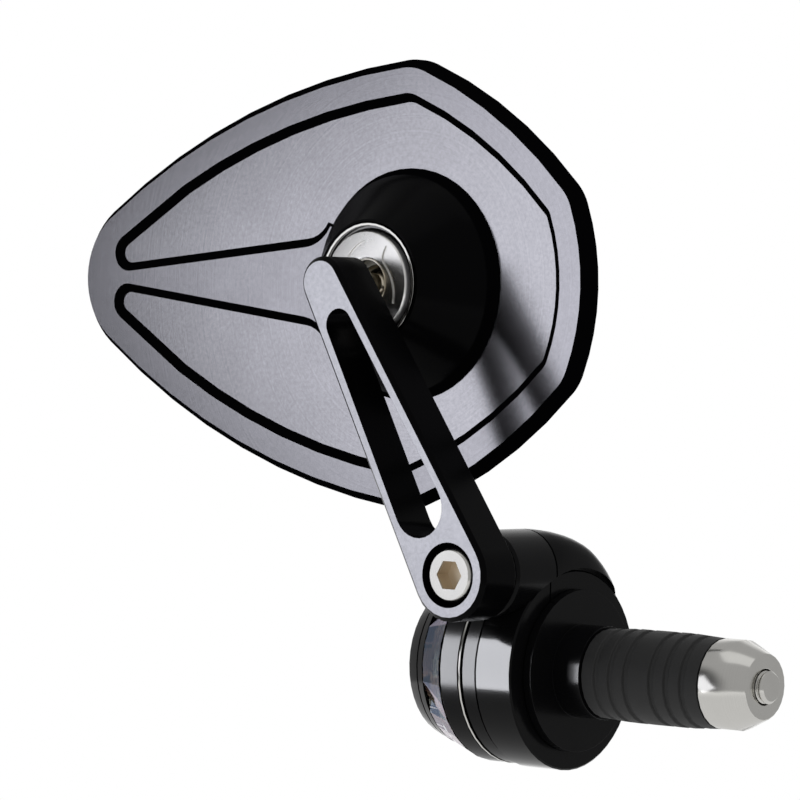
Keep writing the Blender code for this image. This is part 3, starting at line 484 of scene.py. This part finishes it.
# lines run round the bar where no axis is given
def steelFinish(name, look, axis=None):
    material, tree = newFinish(name)
    x, y, z = map(tree.along, "XYZ")
    measure = tree.reach(x - axis[0], z - axis[1]) if axis else x
    turned = tree.lines(measure, look["lineSpacing"])
    cloud = tree.noise(look["cloudSize"], 3.0)
    worked = turned * look["lineShare"] + cloud * (1.0 - look["lineShare"])
    colour = tree.mix(worked, look["deep"], look["colour"])
    rough = look["roughness"] + (cloud - 0.5) * look["cloudRough"]
    height = turned * look["lineHeight"]
    if "crown" in look:
        height = height - measure * measure / (2.0 * look["crown"])
    # painted shade: the skirt round the disc is painted darker, standing in for the shade in its recess
    if "skirtFrom" in look:
        skirtShade = tree.step(measure, look["skirtFrom"], look["skirtFrom"] + look["skirtFade"])
        colour = tree.mix(skirtShade, colour, look["skirtPaintedShade"])
    if "socketFrom" in look:
        deep = tree.step(y, look["socketFrom"], look["socketFrom"] + look["socketFade"])
        socket = deep * tree.step(measure, *look["socketReach"])
        colour = tree.mix(socket, colour, look["socketColour"])
        rough = rough + socket * look["socketDull"]
    tree.surface({
        "Base Color": colour,
        "Metallic": 1.0,
        "Roughness": rough,
        "Normal": tree.bump(height, 1.0),
    })
    return material


discSteel = steelFinish("pressedDisc", discLook, ballAxis)
ringSteel = steelFinish("discRingSteel", ringLook, ballAxis)
studSteel = steelFinish("warmStud", studLook, ballAxis)
boltSteel = steelFinish("stainlessScrew", boltLook, boltAxis)
barSteel = steelFinish("turnedSteel", steelLook)
for look in (
    {"node": "retainer_disc", "name": "sprungDisc", "edge": 0.08, "finish": discSteel},
    {"node": "retainer_ring", "name": "discRing", "edge": 0.1, "finish": ringSteel},
    {"node": "ball_stud", "name": "ballStud", "edge": 0.1, "finish": studSteel},
    {"node": "arm_bolt", "name": "armBolt", "edge": 0.08, "finish": boltSteel},
    {"node": "trim_ring", "name": "trimRing", "edge": 0.05, "finish": barSteel},
    {
        "node": "expander_bolt",
        "name": "plugBolt",
        "edge": 0.05,
        "finish": barSteel,
        "grooves": (40.0, 41.0, 42.0),
        "grooveWidth": 0.7,
        "grooveOver": 2.9,
        "grooveDraw": 0.88,
    },
    {"node": "expander_washer", "name": "plugWasher", "edge": 0.06, "finish": barSteel},
    {"node": "expander_nut", "name": "plugNut", "edge": 0.15, "finish": barSteel},
):
    dressNode(look)
print("steel pieces dressed")


# Light ring: clear facets over a dark board with pale yellow chips
lensLook = {
    "node": "lens_ring",
    "name": "facetLens",
    "sharp": 13,
    "colour": (0.93, 0.95, 0.97),
    "roughness": 0.03,
    "cloudSize": 5.0,
    "cloudRough": 0.02,
}
boardLook = {
    "node": "led_board",
    "name": "lightBoard",
    "board": (0.020, 0.021, 0.022),
    "boardPale": (0.034, 0.034, 0.036),
    "chip": (0.62, 0.58, 0.44),
    "chipFrom": (20.37, 20.43),  # the chips stand out past this
    "roughness": 0.35,
    "grainSize": 0.5,
    "grainRough": 0.2,
    "grainDepth": 0.003,
}


def lensFinish(look):
    material, tree = newFinish("clearLens")
    cloud = tree.noise(look["cloudSize"], 2.0)
    tree.surface({
        "Base Color": tree.colour(look["colour"]),
        "Roughness": look["roughness"] + cloud * look["cloudRough"],
        "Transmission Weight": 1.0,
        "IOR": 1.6,
        "Coat Weight": 1.0,
        "Coat IOR": 1.5,
        "Coat Roughness": 0.06,
        "Thin Film Thickness": 430.0,
        "Thin Film IOR": 1.35,
    })
    return material


def boardFinish(look):
    material, tree = newFinish("lightBoard")
    chip = tree.step(tree.along("X") * -1.0, *look["chipFrom"])
    grain = tree.noise(look["grainSize"], 2.0)
    board = tree.mix(grain, look["board"], look["boardPale"])
    tree.surface({
        "Base Color": tree.mix(chip, board, look["chip"]),
        "Roughness": look["roughness"] + grain * look["grainRough"],
        "Normal": tree.bump(grain, look["grainDepth"]),
    })
    return material


lensLook["finish"] = lensFinish(lensLook)
boardLook["finish"] = boardFinish(boardLook)
dressNode(lensLook)
dressNode(boardLook)
print("light ring dressed")


# Rubber, nylon and glass
rubberLook = {
    "colour": (0.012, 0.012, 0.012),
    "worn": (0.028, 0.028, 0.028),
    "roughness": 0.62,
    "cloudSize": 5.0,
    "cloudRough": 0.2,
    "grainSize": 0.4,
    "grainDepth": 0.02,
}
cupLook = {
    "node": "ball_seat",
    "name": "ballCup",
    "edge": 0.08,
    "colour": (0.72, 0.71, 0.66),
    "pale": (0.80, 0.79, 0.75),
    "roughness": 0.4,
    "grainSize": 0.6,
    "grainRough": 0.1,
    "grainDepth": 0.004,
}
glassLook = {
    "node": "mirror_glass",
    "name": "mirrorGlass",
    "edge": 0.2,
    "silver": (0.86, 0.88, 0.89),
    "silverPale": (0.90, 0.92, 0.92),
    "roughness": 0.015,
    "cloudSize": 30.0,
    "cloudRough": 0.01,
}


def rubberFinish(look):
    material, tree = newFinish("blackRubber")
    grain = tree.noise(look["grainSize"], 3.0)
    cloud = tree.noise(look["cloudSize"], 3.0)
    tree.surface({
        "Base Color": tree.mix(cloud, look["colour"], look["worn"]),
        "Roughness": look["roughness"] + (cloud - 0.5) * look["cloudRough"],
        "Normal": tree.bump(grain, look["grainDepth"]),
    })
    return material


def nylonFinish(look):
    material, tree = newFinish("whiteNylon")
    grain = tree.noise(look["grainSize"], 2.0)
    tree.surface({
        "Base Color": tree.mix(grain, look["colour"], look["pale"]),
        "Roughness": look["roughness"] + grain * look["grainRough"],
        "Normal": tree.bump(grain, look["grainDepth"]),
    })
    return material


def mirrorFinish(look):
    material, tree = newFinish("mirrorSilver")
    cloud = tree.noise(look["cloudSize"], 2.0)
    tree.surface({
        "Base Color": tree.mix(cloud, look["silver"], look["silverPale"]),
        "Metallic": 1.0,
        "Roughness": look["roughness"] + cloud * look["cloudRough"],
    })
    return material


rubber = rubberFinish(rubberLook)
cupLook["finish"] = nylonFinish(cupLook)
glassLook["finish"] = mirrorFinish(glassLook)
dressNode({
    "node": "expander_sleeve",
    "name": "plugSleeve",
    "edge": 0.1,
    "finish": rubber,
    "grooves": (9.6, 13.0, 16.4, 22.2, 25.6, 29.0),
    "grooveWidth": 1.3,
    "grooveOver": 7.0,
    "grooveDraw": 0.945,
})
dressNode({"node": "lens_gasket", "name": "lensGasket", "edge": 0.05, "finish": rubber})
dressNode({"node": "glass_bond", "name": "glassBond", "finish": rubber})
dressNode(cupLook)
dressNode(glassLook)
print("rubber, nylon and glass dressed")


# Studio: a pale floor well below, white behind, soft boxes in front and above, a strip for the black pieces
studio = {
    "floorAt": -0.32,
    "floorSize": 1.2,
    "floorSides": 96,
    "floorColour": (0.80, 0.80, 0.80),
    "floorGlow": 0.6,
    "floorRim": (0.45, 0.95),  # the floor fades to white between these shares of its size
    "ambient": 0.45,
    "ambientFront": 0.03,
    "backdropWay": (-0.642, 0.766, 0.0),
    "backdropEdge": (0.7, 0.95),
    "frontWay": (-0.642, -0.766, 0.0),
    "frontEdge": (0.75, 0.97),
}
white = (1.0, 1.0, 1.0)
coolWhite = (0.94, 0.95, 1.0)


def addFloor(look):
    size = look["floorSize"]
    bpy.ops.object.select_all(action="DESELECT")
    bpy.ops.mesh.primitive_circle_add(
        vertices=look["floorSides"],
        radius=size,
        fill_type="NGON",
        location=(0.0, 0.0, look["floorAt"]),
    )
    floor = bpy.context.object
    floor.name = "floor"
    material, tree = newFinish("paleFloor")
    x, y = map(tree.along, "XY")
    rim = tree.step(tree.reach(x, y) * millimetre, *(size * share for share in look["floorRim"]))
    seen = tree.most(tree.ray("Camera"), tree.shinyRay())
    glow = seen * (rim * (1.0 - look["floorGlow"]) + look["floorGlow"])  # the rest keeps the shadow
    pale = tree.add("BsdfDiffuse", None, {"Color": tree.colour(look["floorColour"])})
    bright = tree.add("Emission", None, {"Color": tree.colour(white), "Strength": 1.0})
    shader = tree.add("MixShader", None, {0: glow, 1: pale, 2: bright})
    tree.add("OutputMaterial", None, {"Surface": shader})
    floor.data.materials.append(material)


def addWorld(look):
    world = bpy.data.worlds.new("studioWorld")
    scene.world = world
    tree = Tree(world)
    spot = tree.add("TexCoord", output="Generated")
    dot = {"operation": "DOT_PRODUCT"}
    behind = tree.add("VectorMath", dot, {0: spot, 1: look["backdropWay"]}, "Value")
    before = tree.add("VectorMath", dot, {0: spot, 1: look["frontWay"]}, "Value")
    sweep = tree.step(behind, *look["backdropEdge"])
    shade = tree.step(before, *look["frontEdge"])  # the room is darker round the front box
    bright = tree.most(tree.ray("Camera"), tree.shinyRay() * sweep)
    dim = tree.mix(shade, (look["ambient"],) * 3, (look["ambientFront"],) * 3)
    light = tree.add("Background", None, {"Color": tree.mix(bright, dim, white)})
    tree.add("OutputWorld", None, {"Surface": light})


def addSoftbox(look):
    bpy.ops.object.light_add(type="AREA", location=look["at"])
    lamp = bpy.context.object
    lamp.name = look["name"]
    lamp.data.shape = "RECTANGLE"
    lamp.data.size = look["size"][0]
    lamp.data.size_y = look["size"][1]
    lamp.data.energy = look["watts"]
    lamp.data.color = look.get("colour", white)
    aim = Vector(look["towards"]) - Vector(look["at"])
    roll = Quaternion((0.0, 0.0, 1.0), math.radians(look.get("roll", 0.0)))
    turn = aim.to_track_quat("-Z", "Y") @ roll
    lamp.rotation_euler = turn.to_euler()
    lamp.visible_diffuse = look.get("fills", True)
    if "only" in look:
        lit = bpy.data.collections.new(look["name"] + "Lit")
        for piece in look["only"]:
            lit.objects.link(piece)
        lamp.light_linking.receiver_collection = lit


addFloor(studio)
addWorld(studio)
addSoftbox({
    "name": "frontBox",
    "at": (-0.416, -0.695, -0.008),
    "towards": (-0.102, 0.0, -0.053),
    "size": (0.336, 0.462),
    "roll": 35.9,
    "watts": 0.66,
    "colour": coolWhite,
    "only": [piece for piece in pieces if piece not in barPieces],
})
addSoftbox({
    "name": "topBox",
    "at": (0.05, -0.15, 0.85),
    "towards": (-0.03, 0.0, 0.03),
    "size": (0.7, 0.5),
    "watts": 0.4,
})
addSoftbox({
    "name": "barStrip",
    "at": (-0.40, -0.47, 0.03),
    "towards": (-0.01, 0.0, 0.0),
    "size": (0.3, 0.5),
    "watts": 22.0,
    "fills": False,  # only a highlight, so that the black stays as it is written
    "colour": coolWhite,
    "only": barPieces,
})
print("studio lit")
